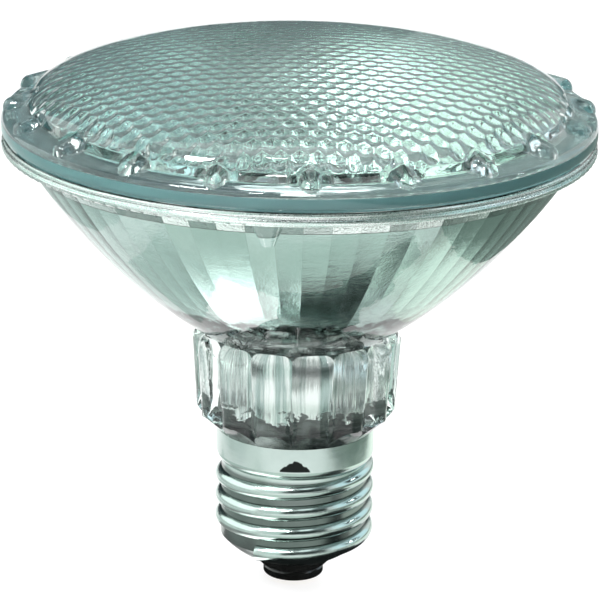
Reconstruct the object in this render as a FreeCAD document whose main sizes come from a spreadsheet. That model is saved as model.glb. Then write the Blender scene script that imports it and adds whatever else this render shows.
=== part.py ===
import FreeCAD, Part
import Sketcher
import math
import os
import re

# Par spotlight bulb: a pressed-glass reflector lamp with a clear stippled lens, a lobed glass neck and a
# screw cap of 27 mm. All sizes are in millimetres. The origin is the lowest point of the centre contact,
# +Z points up through the lens, and the front of the lamp faces -Y.

SIZES = {
    # Lens, measured from the contact's tip
    "lens_radius": 48.15,
    "lens_foot_z": 77.95,
    "lens_edge_height": 1.8,
    "lens_edge_round": 1.15,
    "lens_edge_arc": 1.32,
    "shoulder_width": 3.25,
    "shoulder_height": 3.8,
    "shoulder_fall": 0.6,
    "dome_step": 1.43,
    "dome_base_height": 4.73,
    "dome_rise": 8.39,
    "lens_wall": 3.2,
    "lens_foot_chamfer": 0.45,
    "hollow_draft": 0.25,
    # Lugs round the lens shoulder
    "lug_count": 20,
    "lug_phase": 2.2,
    "lug_radius": 1.75,
    "lug_length": 9.75,
    "lug_root_inset": 4.87,
    "lug_root_height": 7.6,
    "lug_tilt": 19.0,
    # Adhesive ring and reflector rim, which has the lens's radius
    "joint_gap": 0.35,
    "seal_inset": 0.75,
    "seal_width": 3.3,
    "rim_height": 2.2,
    "rim_land": 0.75,
    "rim_land_set": 0.2,
    "rim_land_ease": 0.25,
    "rim_round": 0.5,
    "rim_groove": 0.3,
    "rim_groove_depth": 0.45,
    "rim_bead_set": 0.12,
    "rim_foot_inset": 1.95,
    "rim_foot_fall": 0.15,
    "cove_radius": 1.6,
    # Reflector bowl: its meridian is one arc between its top and its foot
    "bowl_arc_radius": 100.0,
    "bowl_top_inset": 3.48,
    "bowl_top_drop": 1.2,
    "bowl_foot_radius": 15.18,
    "bowl_foot_z": 44.0,
    "bowl_wall": 2.5,
    "facet_count": 60,
    "facet_phase": 1.1,
    "mirror_bottom_z": 49.3,
    # Locating key under the rim
    "key_angle": -6.0,
    "key_top_radius": 2.9,
    "key_tip_radius": 1.0,
    "key_top_inset": 3.25,
    "key_tip_inset": 5.65,
    "key_length": 4.5,
    "key_bite": 0.3,
    # Neck with lobes
    "lobe_count": 14,
    "lobe_phase": 10.36,
    "lobe_circle": 13.3,
    "lobe_top_radius": 3.9,
    "lobe_foot_radius": 2.95,
    "lobe_top_z": 44.3,
    "lobe_crown": 2.1,
    "neck_root_drop": 1.2,
    "core_top_radius": 15.2,
    "core_foot_radius": 14.7,
    "chamfer_height": 3.2,
    "chamfer_radius": 16.3,
    "neck_hollow_step": 2.0,
    "neck_hollow_rise": 1.7,
    "bore_round": 1.5,
    "neck_floor_z": 43.2,
    "tail_gap": 0.8,
    "tail_wall": 2.05,
    "tail_below_cement": 0.6,
    # Screw cap
    "shell_radius": 13.05,
    "shell_sheet": 0.3,
    "shell_top_z": 27.3,
    "band_height": 5.0,
    "band_flank_rise": 0.9,
    "band_flank_fall": 0.6,
    "band_flank_arc": 2.2,
    "cup_arc": 14.0,
    "thread_stand_out": 0.09,
    "thread_depth": 0.94,
    "thread_pitch": 3.629,
    "thread_first_z": 8.33,
    "thread_turns": 3.5,
    "thread_start_angle": -120.0,
    "thread_half_width": 1.35,
    "thread_arc": 1.45,
    "thread_bite": 0.12,
    "thread_foot_z": 8.4,
    "cement_set": 0.3,
    "cement_height": 3.5,
    "lip_radius": 6.72,
    "lip_z": 4.55,
    # Insulator and centre contact
    "glass_ring_radius": 5.0,
    "glass_ring_z": 1.0,
    "glass_ring_height": 1.5,
    "glass_ring_round": 0.5,
    "glass_ring_ease": 0.25,
    "glass_waist_radius": 4.85,
    "glass_cup_arc": 6.0,
    "glass_inside_radius": 9.0,
    "glass_inside_z": 8.6,
    "contact_radius": 3.9,
    "contact_sheet": 0.35,
    "contact_recess": 0.6,
    "contact_edge_z": 0.9,
    "contact_edge_round": 0.6,
    "contact_edge_arc": 0.7,
    "contact_plate_z": 0.65,
    "contact_boss_radius": 2.2,
    "contact_boss_z": 0.55,
    "solder_radius": 1.9,
    "solder_flat_radius": 1.3,
    "solder_arc": 1.2,
    "solder_socket_z": 1.2,
    "solder_plug_z": 2.2,
    "contact_hole": 0.9,
    # Lamp capsule
    "capsule_radius": 5.9,
    "capsule_wall": 1.0,
    "capsule_foot_z": 61.4,
    "capsule_top_z": 77.4,
    "capsule_shoulder_arc": 7.1,
    "capsule_crown_arc": 6.0,
    "capsule_tip_radius": 1.3,
    "capsule_tip_drop": 0.2,
    "capsule_tip_waist": 1.04,
    "capsule_tip_height": 1.9,
    "capsule_floor": 2.0,
    "capsule_floor_rise": 0.4,
    "lead_way_height": 6.0,
    "pinch_width": 9.2,
    "pinch_depth": 3.4,
    "pinch_foot_z": 55.0,
    "pinch_blend": 1.5,
    "foil_width": 2.4,
    "foil_length": 4.0,
    "foil_sheet": 0.12,
    "foil_offset": 2.3,
    "foil_z": 56.6,
    "coil_radius": 0.9,
    "coil_wire": 0.36,
    "coil_pitch": 0.9,
    "coil_turns": 9.0,
    "coil_z": 70.2,
    "inner_lead_radius": 0.25,
    "lead_bend_z": 65.7,
    "lead_turn_z": 68.2,
    "lead_over_coil": 0.4,
    "pin_radius": 0.4,
    # Capsule carrier
    "post_radius": 0.6,
    "post_inset": 3.2,
    "post_foot_z": 39.5,
    "ferrule_radius": 1.7,
    "ferrule_flange_radius": 2.7,
    "ferrule_sheet": 0.35,
    "ferrule_foot_z": 41.8,
    "shield_radius": 11.6,
    "shield_sheet": 0.4,
    "shield_rim": 1.2,
    "shield_z": 50.9,
    "arm_height": 2.2,
    # Wires in the neck
    "wire_radius": 0.45,
    "fuse_radius": 1.3,
    "fuse_length": 7.0,
    "fuse_z": 14.0,
    "fuse_round": 0.4,
    "shell_lead_bend_z": 21.4,
    "shell_lead_turn_z": 19.4,
    "shell_lead_end_z": 15.4,
    "shell_lead_gap": 0.5,
    "contact_lead_bend_z": 27.0,
    "contact_lead_turn_z": 23.5,
    # Clearance between pieces that seat in each other, and how far a cutting shape runs past the glass
    "seat": 0.05,
    "cut_over": 1.0,
    "cut_reach": 4.0,
}

# Sizes that follow from those above, so that pieces which meet go on meeting when one is changed
DERIVED = {
    "lens_edge_z": "lens_foot_z + lens_edge_height",
    "shoulder_radius": "lens_radius - shoulder_width",
    "shoulder_z": "lens_foot_z + shoulder_height",
    "dome_radius": "shoulder_radius - dome_step",
    "dome_base_z": "lens_foot_z + dome_base_height",
    "lug_root_radius": "dome_radius - lug_root_inset",
    "lug_root_z": "lens_foot_z + lug_root_height",
    "seal_outer_radius": "lens_radius - seal_inset",
    "seal_inner_radius": "seal_outer_radius - seal_width",
    "rim_top_z": "lens_foot_z - joint_gap",
    "rim_line_z": "rim_top_z - rim_land",
    "rim_foot_z": "rim_top_z - rim_height",
    "rim_foot_radius": "lens_radius - rim_foot_inset",
    "key_top_reach": "lens_radius - key_top_inset",
    "key_tip_reach": "lens_radius - key_tip_inset",
    "bowl_top_radius": "lens_radius - bowl_top_inset",
    "bowl_top_z": "rim_foot_z - bowl_top_drop",
    "bowl_run": "bowl_top_radius - bowl_foot_radius",
    "bowl_climb": "bowl_top_z - bowl_foot_z",
    "bowl_chord": "sqrt(bowl_run^2 + bowl_climb^2)",
    "bowl_arc_reach": "sqrt(bowl_arc_radius^2 - bowl_chord^2 / 4)",
    "bowl_arc_x": "(bowl_top_radius + bowl_foot_radius) / 2 - bowl_arc_reach * bowl_climb / bowl_chord",
    "bowl_arc_z": "(bowl_top_z + bowl_foot_z) / 2 + bowl_arc_reach * bowl_run / bowl_chord",
    "chamfer_z": "shell_top_z + chamfer_height",
    "tail_radius": "shell_radius - tail_gap",
    "neck_bore": "tail_radius - tail_wall",
    "neck_hollow": "neck_bore + neck_hollow_step",
    "neck_hollow_foot_z": "shell_top_z + neck_hollow_rise",
    "post_offset": "neck_bore - post_inset",
    "cement_top_z": "shell_top_z - cement_set",
    "cement_foot_z": "cement_top_z - cement_height",
    "tail_foot_z": "cement_foot_z - tail_below_cement",
    "band_foot_z": "shell_top_z - band_height",
    "thread_radius": "shell_radius + thread_stand_out",
    "thread_root_radius": "thread_radius - thread_depth",
}

doc = FreeCAD.newDocument("par_spotlight_bulb")
sheet = doc.addObject("Spreadsheet::Sheet", "Sizes")
CELLS = {alias: str(value) for alias, value in SIZES.items()}
CELLS.update({alias: f"={formula}" for alias, formula in DERIVED.items()})
for row, (alias, content) in enumerate(CELLS.items(), start=1):
    sheet.set(f"A{row}", alias)
    sheet.set(f"B{row}", content)
    sheet.setAlias(f"B{row}", alias)
doc.recompute()

NODES = []


def sized(text):
    """The expression with each alias read from the sheet."""
    return re.sub(r"[a-z]\w*", lambda word: f"Sizes.{word[0]}" if word[0] in CELLS else word[0], text)


def measured(text):
    """The expression's value."""
    return float(sheet.evalExpression(sized(text)))


def bind(target, prop, text):
    target.setExpression(prop, sized(text))


def new_body(name):
    return doc.addObject("PartDesign::Body", name)


def plane_of(body, role):
    return next(item for item in body.Origin.OriginFeatures if item.Role == role)


def finish(item, label):
    """Gives the sub-part its label and lists it for writing."""
    item.Label = label
    NODES.append(item)
    return item


def outline_sketch(body, name, points, role="XZ_Plane"):
    """A closed outline. Each point is (across, up) or (across, up, kind, size), where kind says how the
    outline arrives there: by an arc of a given radius, bulging left or right of the way, or by an arc
    tangent to what comes before it."""
    sketch = body.newObject("Sketcher::SketchObject", name)
    sketch.AttachmentSupport = (plane_of(body, role), [""])
    sketch.MapMode = "FlatFace"
    draw_outline(sketch, points)
    return sketch


def arc_between(start, end, radius, side):
    """An arc from start to end that bulges to the left (side 1) or the right (side -1) of the way, and
    which of its ends the way starts and stops at. The arc itself runs anticlockwise."""
    chord = end - start
    half = chord.Length / 2
    drop = math.sqrt(max(radius * radius - half * half, 0))
    left = FreeCAD.Vector(-chord.y, chord.x, 0).normalize()
    centre = (start + end) * 0.5 - left * (drop * side)
    circle = Part.Circle(centre, FreeCAD.Vector(0, 0, 1), (start - centre).Length)
    at_start = math.atan2(start.y - centre.y, start.x - centre.x)
    at_end = math.atan2(end.y - centre.y, end.x - centre.x)
    if side < 0:
        return Part.ArcOfCircle(circle, at_start, at_end), (1, 2)
    return Part.ArcOfCircle(circle, at_end, at_start), (2, 1)


def draw_outline(sketch, points):
    places = [FreeCAD.Vector(measured(point[0]), measured(point[1]), 0) for point in points]
    count = len(points)
    ends = []
    for index in range(count):
        start = places[index]
        following = points[(index + 1) % count]
        end = places[(index + 1) % count]
        if len(following) == 2:
            sketch.addGeometry(Part.LineSegment(start, end), False)
            ends.append((1, 2))
            continue
        side = 1 if following[2].endswith("left") else -1
        arc, both_ends = arc_between(start, end, measured(following[3]), side)
        sketch.addGeometry(arc, False)
        ends.append(both_ends)
    for index in range(count):
        previous = (index - 1) % count
        first = (index, ends[index][0])
        last = (previous, ends[previous][1])
        kind = points[(index + 1) % count][2] if len(points[(index + 1) % count]) > 2 else ""
        if kind.startswith("tangent"):
            sketch.addConstraint(Sketcher.Constraint("Tangent", last[0], last[1], first[0], first[1]))
        else:
            sketch.addConstraint(Sketcher.Constraint("Coincident", last[0], last[1], first[0], first[1]))
        if kind.startswith("centred"):
            sketch.addConstraint(Sketcher.Constraint("PointOnObject", index, 3, -2))
        elif kind in ("left", "right"):
            size = points[(index + 1) % count][3]
            number = sketch.addConstraint(Sketcher.Constraint("Radius", index, measured(size)))
            bind(sketch, f"Constraints[{number}]", size)
        for axis, text, line in (("DistanceX", points[index][0], -2), ("DistanceY", points[index][1], -1)):
            if text == "0":
                sketch.addConstraint(Sketcher.Constraint("PointOnObject", first[0], first[1], line))
                continue
            value = measured(text)
            number = sketch.addConstraint(
                Sketcher.Constraint(axis, -1, 1, first[0], first[1], value)
            )
            bind(sketch, f"Constraints[{number}]", text)


def turn(body, sketch, name, kind="Revolution", axis="V_Axis"):
    """Turns a sketch a full circle, adding (Revolution) or cutting (Groove)."""
    feature = body.newObject(f"PartDesign::{kind}", name)
    feature.Profile = sketch
    feature.ReferenceAxis = (sketch, [axis])
    feature.Angle = 360
    sketch.Visibility = False
    return feature


def turned(name, points):
    """A body turned about the lamp's axis from one outline."""
    body = new_body(f"{name}_body")
    sketch = outline_sketch(body, f"{name}_outline", points)
    turn(body, sketch, f"{name}_turned")
    return body


def around(body, feature, name, count):
    """Repeats a feature evenly about the lamp's axis."""
    pattern = body.newObject("PartDesign::PolarPattern", name)
    pattern.Originals = [feature]
    pattern.Axis = (plane_of(body, "Z_Axis"), [""])
    pattern.Angle = 360
    pattern.Occurrences = int(measured(count))
    bind(pattern, "Occurrences", count)
    body.Tip = pattern
    return pattern


def turn_about_axis(item, angle):
    """Binds the sub-part's turn about the lamp's axis."""
    item.Placement = FreeCAD.Placement(
        FreeCAD.Vector(0, 0, 0), FreeCAD.Rotation(FreeCAD.Vector(0, 0, 1), measured(angle))
    )
    bind(item, "Placement.Rotation.Angle", angle)


def bowl_radius(height, wall="0"):
    """The bowl's radius at a height, inside the wall where one is given."""
    reach = f"(bowl_arc_radius - ({wall}))"
    return f"(sqrt({reach}^2 - (bowl_arc_z - ({height}))^2) + bowl_arc_x)"


# Lens: a thick dome on a flange, with half-round lugs on its shoulder. The dome is an ellipse drawn as
# tangent arcs, which meet at these angles of its parameter. Each has a first radius for the solver.
DOME_ARCS = ((40, "200"), (62, "60"), (76, "14"), (84, "4"))


def dome_run(wall):
    """The dome's outline from the axis outwards, on the outside or a wall's depth inside it."""
    run = [("0", f"dome_base_z + dome_rise - ({wall})")]
    kind = "centred_left"
    for angle, first_radius in DOME_ARCS:
        across = f"(dome_radius - ({wall})) * sin({angle})"
        up = f"dome_base_z + dome_rise * cos({angle}) - ({wall})"
        run.append((across, up, kind, first_radius))
        kind = "tangent_left"
    return run


def make_lens():
    """The dome with its flange, the ring of lugs and the hollow behind the dome."""
    body = new_body("lens_body")
    points = dome_run("0") + [
        ("shoulder_radius", "shoulder_z"),
        ("lens_radius - lens_edge_round", "shoulder_z - shoulder_fall"),
        ("lens_radius", "lens_edge_z", "left", "lens_edge_arc"),
        ("lens_radius", "lens_foot_z + lens_foot_chamfer"),
        ("lens_radius - lens_foot_chamfer", "lens_foot_z"),
        ("0", "lens_foot_z"),
    ]
    turn(body, outline_sketch(body, "lens_outline", points), "lens_solid")
    lug = body.newObject("Sketcher::SketchObject", "lug_outline")
    lug.AttachmentSupport = (plane_of(body, "XZ_Plane"), [""])
    lug.MapMode = "FlatFace"
    lug.AttachmentOffset = FreeCAD.Placement(
        FreeCAD.Vector(measured("lug_root_radius"), measured("lug_root_z - lug_radius"), 0),
        FreeCAD.Rotation(FreeCAD.Vector(0, 0, 1), -measured("lug_tilt")),
    )
    bind(lug, "AttachmentOffset.Base.x", "lug_root_radius")
    bind(lug, "AttachmentOffset.Base.y", "lug_root_z - lug_radius")
    bind(lug, "AttachmentOffset.Rotation.Angle", "-lug_tilt")
    draw_outline(
        lug,
        [
            ("0", "0"),
            ("lug_length", "0"),
            ("lug_length - lug_radius", "lug_radius", "right", "lug_radius"),
            ("0", "lug_radius"),
        ],
    )
    ridge = turn(body, lug, "lug_ridge", axis="H_Axis")
    doc.recompute()
    around(body, ridge, "lug_ring", "lug_count")
    inner = dome_run("lens_wall")
    last_across = inner[-1][0]
    cavity = inner + [
        (f"({last_across}) + hollow_draft", "lens_foot_z + lens_foot_chamfer"),
        ("shoulder_radius", "lens_foot_z - cut_over"),
        ("0", "lens_foot_z - cut_over"),
    ]
    hollow = outline_sketch(body, "lens_hollow_outline", cavity)
    turn(body, hollow, "lens_hollow", kind="Groove")
    turn_about_axis(body, "lug_phase - 90")
    return finish(body, "lens")


# Reflector: rim, bowl with a faceted inside, locating key and lobed neck
def make_reflector():
    """The pressed glass in one piece, hollowed by the mirror, the neck's bore and the ferrules' holes."""
    body = new_body("reflector_body")
    points = [
        ("0", "rim_top_z"),
        ("lens_radius - rim_round", "rim_top_z"),
        ("lens_radius - rim_land_set", "rim_top_z - rim_land_ease"),
        ("lens_radius - rim_land_set", "rim_line_z + rim_groove / 2"),
        ("lens_radius - rim_groove_depth", "rim_line_z"),
        ("lens_radius - rim_bead_set", "rim_line_z - rim_groove / 2"),
        ("lens_radius", "rim_line_z - rim_groove"),
        ("lens_radius", "rim_foot_z + rim_round"),
        ("lens_radius - rim_round", "rim_foot_z", "left", "rim_round"),
        ("rim_foot_radius", "rim_foot_z - rim_foot_fall"),
        ("bowl_top_radius", "bowl_top_z", "right", "cove_radius"),
        ("bowl_foot_radius", "bowl_foot_z", "left", "bowl_arc_radius"),
        ("core_top_radius", "bowl_foot_z - neck_root_drop"),
        ("core_foot_radius", "chamfer_z"),
        ("shell_radius", "shell_top_z + seat"),
        ("tail_radius", "shell_top_z + seat"),
        ("tail_radius", "tail_foot_z"),
        ("0", "tail_foot_z"),
    ]
    turn(body, outline_sketch(body, "reflector_outline", points), "reflector_solid")
    lobe = body.newObject("Sketcher::SketchObject", "lobe_outline")
    lobe.AttachmentSupport = (plane_of(body, "XZ_Plane"), [""])
    lobe.MapMode = "FlatFace"
    lobe.AttachmentOffset = FreeCAD.Placement(
        FreeCAD.Vector(measured("lobe_circle"), 0, 0), FreeCAD.Rotation()
    )
    bind(lobe, "AttachmentOffset.Base.x", "lobe_circle")
    draw_outline(
        lobe,
        [
            ("0", "shell_top_z + seat"),
            ("lobe_foot_radius", "shell_top_z + seat"),
            ("lobe_top_radius", "lobe_top_z - lobe_crown"),
            ("lobe_top_radius - lobe_crown", "lobe_top_z", "right", "lobe_crown"),
            ("0", "lobe_top_z"),
        ],
    )
    column = turn(body, lobe, "lobe")
    doc.recompute()
    around(body, column, "lobe_ring", "lobe_count")
    chamfer = outline_sketch(
        body,
        "chamfer_outline",
        [
            ("shell_radius", "shell_top_z + seat"),
            ("chamfer_radius", "chamfer_z"),
            ("chamfer_radius + cut_reach", "chamfer_z"),
            ("chamfer_radius + cut_reach", "shell_top_z - cut_over"),
            ("shell_radius", "shell_top_z - cut_over"),
        ],
    )
    turn(body, chamfer, "neck_chamfer", kind="Groove")
    bore = outline_sketch(
        body,
        "neck_bore_outline",
        [
            ("0", "tail_foot_z - cut_over"),
            ("neck_bore", "tail_foot_z - cut_over"),
            ("neck_bore", "neck_hollow_foot_z"),
            ("neck_hollow", "neck_hollow_foot_z + neck_hollow_step"),
            ("neck_hollow", "neck_floor_z - bore_round"),
            ("neck_hollow - bore_round", "neck_floor_z", "left", "bore_round"),
            ("0", "neck_floor_z"),
        ],
    )
    turn(body, bore, "neck_bore", kind="Groove")
    turn_about_axis(body, "lobe_phase - 90")
    key = make_key()
    shell = doc.addObject("Part::MultiFuse", "reflector_glass")
    shell.Shapes = [body, key]
    mirror = make_mirror_hollow()
    holes = [ferrule_hole(side) for side in (-1, 1)]
    tools = doc.addObject("Part::MultiFuse", "reflector_hollows")
    tools.Shapes = [mirror] + holes
    cut = doc.addObject("Part::Cut", "reflector_cut")
    cut.Base = shell
    cut.Tool = tools
    return finish(cut, "reflector")


def make_key():
    """The locating key under the rim: a tapering half-round boss."""
    key = doc.addObject("Part::Loft", "key_loft")
    sections = []
    for name, radius, reach, height in (
        ("key_top", "key_top_radius", "key_top_reach", "rim_foot_z + key_bite"),
        ("key_tip", "key_tip_radius", "key_tip_reach", "rim_foot_z - key_length"),
    ):
        circle = doc.addObject("Part::Circle", name)
        circle.Radius = measured(radius)
        bind(circle, "Radius", radius)
        bind(circle, "Placement.Base.x", f"{reach} * sin(key_angle)")
        bind(circle, "Placement.Base.y", f"-{reach} * cos(key_angle)")
        bind(circle, "Placement.Base.z", height)
        sections.append(circle)
    key.Sections = sections
    key.Solid = True
    key.Ruled = True
    return key


# Edges between the rows of facets, as shares of the mirror's height
MIRROR_LEVELS = (0.0, 0.09, 0.2, 0.33, 0.48, 0.65, 0.83)


def make_mirror_hollow():
    """The bowl's inside: flat facets between rings of a many-sided outline that follow the wall."""
    heights = [f"(mirror_bottom_z + (rim_top_z - mirror_bottom_z) * {share})" for share in MIRROR_LEVELS]
    rings = [(bowl_radius(height, "bowl_wall"), height) for height in heights]
    rings.append((bowl_radius("rim_top_z", "bowl_wall"), "rim_top_z + cut_over"))
    sections = []
    for index, (radius, height) in enumerate(rings):
        ring = doc.addObject("Part::RegularPolygon", f"mirror_ring_{index}")
        ring.Polygon = int(measured("facet_count"))
        bind(ring, "Polygon", "facet_count")
        bind(ring, "Circumradius", radius)
        ring.Placement = FreeCAD.Placement(
            FreeCAD.Vector(0, 0, measured(height)),
            FreeCAD.Rotation(FreeCAD.Vector(0, 0, 1), measured("facet_phase")),
        )
        bind(ring, "Placement.Base.z", height)
        bind(ring, "Placement.Rotation.Angle", "facet_phase")
        sections.append(ring)
    hollow = doc.addObject("Part::Loft", "mirror_hollow")
    hollow.Sections = sections
    hollow.Solid = True
    hollow.Ruled = True
    return hollow


def ferrule_hole(side):
    """The hole through the glass floor that one ferrule sits in."""
    hole = doc.addObject("Part::Cylinder", "ferrule_hole_left" if side < 0 else "ferrule_hole_right")
    bind(hole, "Radius", "ferrule_radius + seat")
    bind(hole, "Height", "mirror_bottom_z - neck_floor_z + cut_over * 2")
    bind(hole, "Placement.Base.x", f"{side} * post_offset")
    bind(hole, "Placement.Base.z", "neck_floor_z - cut_over")
    return hole


def make_seal():
    """The adhesive ring that joins lens and reflector, set back from their edge."""
    body = turned(
        "seal_ring",
        [
            ("seal_inner_radius", "rim_top_z"),
            ("seal_outer_radius", "rim_top_z"),
            ("seal_outer_radius", "lens_foot_z"),
            ("seal_inner_radius", "lens_foot_z"),
        ],
    )
    return finish(body, "seal_ring")


# Screw cap
def make_shell():
    """The rolled sheet shell: a plain band, the thread and a cup that closes on the insulator."""
    body = new_body("screw_shell_body")
    root_inside = "thread_root_radius - shell_sheet"
    points = [
        ("shell_radius - shell_sheet", "shell_top_z"),
        ("shell_radius", "shell_top_z"),
        ("shell_radius", "band_foot_z + band_flank_rise"),
        ("thread_root_radius", "band_foot_z - band_flank_fall", "left", "band_flank_arc"),
        ("thread_root_radius", "thread_foot_z"),
        ("lip_radius", "lip_z", "left", "cup_arc"),
        ("lip_radius", "lip_z + shell_sheet"),
        (root_inside, "thread_foot_z + shell_sheet / 2", "right", "cup_arc"),
        (root_inside, "band_foot_z - band_flank_fall - shell_sheet"),
        ("shell_radius - shell_sheet", "band_foot_z + band_flank_rise - shell_sheet"),
    ]
    turn(body, outline_sketch(body, "shell_outline", points), "shell_sheet_form")
    thread = outline_sketch(
        body,
        "thread_outline",
        [
            ("thread_root_radius - thread_bite", "thread_first_z - thread_half_width"),
            ("thread_root_radius", "thread_first_z - thread_half_width"),
            ("thread_radius", "thread_first_z", "right", "thread_arc"),
            ("thread_root_radius", "thread_first_z + thread_half_width", "right", "thread_arc"),
            ("thread_root_radius - thread_bite", "thread_first_z + thread_half_width"),
        ],
    )
    ridge = body.newObject("PartDesign::AdditiveHelix", "thread_ridge")
    ridge.Profile = thread
    ridge.ReferenceAxis = (thread, ["V_Axis"])
    ridge.Mode = "pitch-turns-angle"
    ridge.Pitch = measured("thread_pitch")
    ridge.Turns = measured("thread_turns")
    bind(ridge, "Pitch", "thread_pitch")
    bind(ridge, "Turns", "thread_turns")
    ridge.Angle = 0
    ridge.LeftHanded = False
    ridge.Reversed = False
    turn_about_axis(body, "thread_start_angle")
    return finish(body, "screw_shell")


def make_cement():
    """The ring of cement that holds the glass tail in the shell's band."""
    body = turned(
        "neck_cement",
        [
            ("tail_radius + seat", "cement_foot_z"),
            ("shell_radius - shell_sheet - seat", "cement_foot_z"),
            ("shell_radius - shell_sheet - seat", "cement_top_z"),
            ("tail_radius + seat", "cement_top_z"),
        ],
    )
    return finish(body, "neck_cement")


def make_insulator():
    """Black glass between shell and contact, with a waist above its lowest ring."""
    ring_top = "glass_ring_z + glass_ring_height"
    body = turned(
        "insulator",
        [
            ("contact_hole", "glass_ring_z + contact_recess"),
            ("contact_radius + seat", "glass_ring_z + contact_recess"),
            ("contact_radius + seat", "glass_ring_z"),
            ("glass_ring_radius - glass_ring_round", "glass_ring_z"),
            ("glass_ring_radius", "glass_ring_z + glass_ring_round", "right", "glass_ring_round"),
            ("glass_ring_radius", f"{ring_top} - glass_ring_ease"),
            ("glass_waist_radius", ring_top),
            ("lip_radius - seat * 2", "lip_z - seat", "right", "glass_cup_arc"),
            ("lip_radius - seat", "lip_z - seat"),
            ("lip_radius - seat", "lip_z + shell_sheet + seat"),
            ("glass_inside_radius", "glass_inside_z"),
            ("contact_hole", "glass_inside_z"),
        ],
    )
    return finish(body, "insulator")


def make_contact():
    """The centre contact: a pressed plate let into the glass, with a hole for the lead."""
    top = "glass_ring_z + contact_recess"
    body = turned(
        "centre_contact",
        [
            ("contact_hole", f"{top} - contact_sheet"),
            ("contact_hole", top),
            ("contact_radius", top),
            ("contact_radius", "contact_edge_z"),
            ("contact_radius - contact_edge_round", "contact_plate_z", "right", "contact_edge_arc"),
            ("contact_boss_radius", "contact_boss_z"),
            ("solder_radius", "contact_edge_z"),
        ],
    )
    return finish(body, "centre_contact")


def make_contact_solder():
    """The solder drop that closes the contact's hole and is the lamp's lowest point."""
    body = turned(
        "contact_solder",
        [
            ("0", "0"),
            ("solder_flat_radius", "0"),
            ("solder_radius - seat", "contact_boss_z", "right", "solder_arc"),
            ("solder_radius - seat", "contact_edge_z - seat"),
            ("contact_hole - seat", "glass_ring_z + contact_recess - contact_sheet - seat"),
            ("contact_hole - seat", "solder_plug_z"),
            ("wire_radius + seat", "solder_plug_z"),
            ("wire_radius + seat", "solder_socket_z"),
            ("0", "solder_socket_z"),
        ],
    )
    return finish(body, "contact_solder")


# Lamp capsule
def make_capsule():
    """The quartz envelope: a tube with a domed top and exhaust tip, drawn into a flat pinch."""
    body = new_body("capsule_body")
    inside = "capsule_radius - capsule_wall"
    shoulder = "capsule_foot_z + capsule_radius"
    points = [
        ("0", "capsule_foot_z - pinch_blend"),
        ("pinch_depth / 3", "capsule_foot_z - pinch_blend"),
        ("capsule_radius", f"{shoulder} - pinch_blend", "right", "capsule_shoulder_arc"),
        ("capsule_radius", "capsule_top_z - capsule_radius"),
        ("capsule_tip_radius", "capsule_top_z - capsule_tip_drop", "right", "capsule_crown_arc"),
        ("capsule_tip_waist", "capsule_top_z + capsule_tip_height / 2"),
        ("0", "capsule_top_z + capsule_tip_height", "centred_right", "capsule_tip_waist"),
    ]
    turn(body, outline_sketch(body, "capsule_outline", points), "capsule_tube")
    doc.recompute()
    pinch = body.newObject("PartDesign::AdditiveBox", "pinch")
    for prop, text in (
        ("Length", "pinch_width"),
        ("Width", "pinch_depth"),
        ("Height", "capsule_foot_z + pinch_blend - pinch_foot_z"),
    ):
        bind(pinch, prop, text)
    bind(pinch, "Placement.Base.x", "-pinch_width / 2")
    bind(pinch, "Placement.Base.y", "-pinch_depth / 2")
    bind(pinch, "Placement.Base.z", "pinch_foot_z")
    doc.recompute()
    hollow = [
        ("0", "capsule_foot_z + capsule_floor"),
        (inside, f"{shoulder} + capsule_floor_rise", "centred_right", "capsule_radius"),
        (inside, "capsule_top_z - capsule_radius"),
        ("0", "capsule_top_z - capsule_wall", "right", inside),
    ]
    turn(body, outline_sketch(body, "capsule_hollow_outline", hollow), "capsule_hollow", kind="Groove")
    doc.recompute()
    for side, word in ((-1, "left"), (1, "right")):
        slot = body.newObject("PartDesign::SubtractiveBox", f"foil_slot_{word}")
        bind(slot, "Length", "foil_width + seat * 2")
        bind(slot, "Width", "foil_sheet + seat * 2")
        bind(slot, "Height", "foil_length + seat * 2")
        bind(slot, "Placement.Base.x", f"{side} * foil_offset - foil_width / 2 - seat")
        bind(slot, "Placement.Base.y", "-foil_sheet / 2 - seat")
        bind(slot, "Placement.Base.z", "foil_z - seat")
        doc.recompute()
        way_top = "capsule_foot_z + lead_way_height"
        for name, radius, low, high in (
            ("lead_way", "inner_lead_radius + seat", "foil_z + foil_length", way_top),
            ("pin_way", "pin_radius + seat", "pinch_foot_z - cut_over", "foil_z"),
        ):
            way = body.newObject("PartDesign::SubtractiveCylinder", f"{name}_{word}")
            bind(way, "Radius", radius)
            bind(way, "Height", f"{high} - ({low})")
            bind(way, "Placement.Base.x", f"{side} * foil_offset")
            bind(way, "Placement.Base.z", low)
            doc.recompute()
    return finish(body, "capsule_envelope")


def make_foil(side, word):
    """The thin strip sealed in the pinch."""
    foil = doc.addObject("Part::Box", f"foil_{word}_sheet")
    bind(foil, "Length", "foil_width")
    bind(foil, "Width", "foil_sheet")
    bind(foil, "Height", "foil_length")
    bind(foil, "Placement.Base.x", f"{side} * foil_offset - foil_width / 2")
    bind(foil, "Placement.Base.y", "-foil_sheet / 2")
    bind(foil, "Placement.Base.z", "foil_z")
    return finish(foil, f"foil_{word}")


# A wire's bend, in wire radii, and the largest share of a straight run that one may take
BEND_RADII = 3
BEND_SHARE = 0.45


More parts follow.
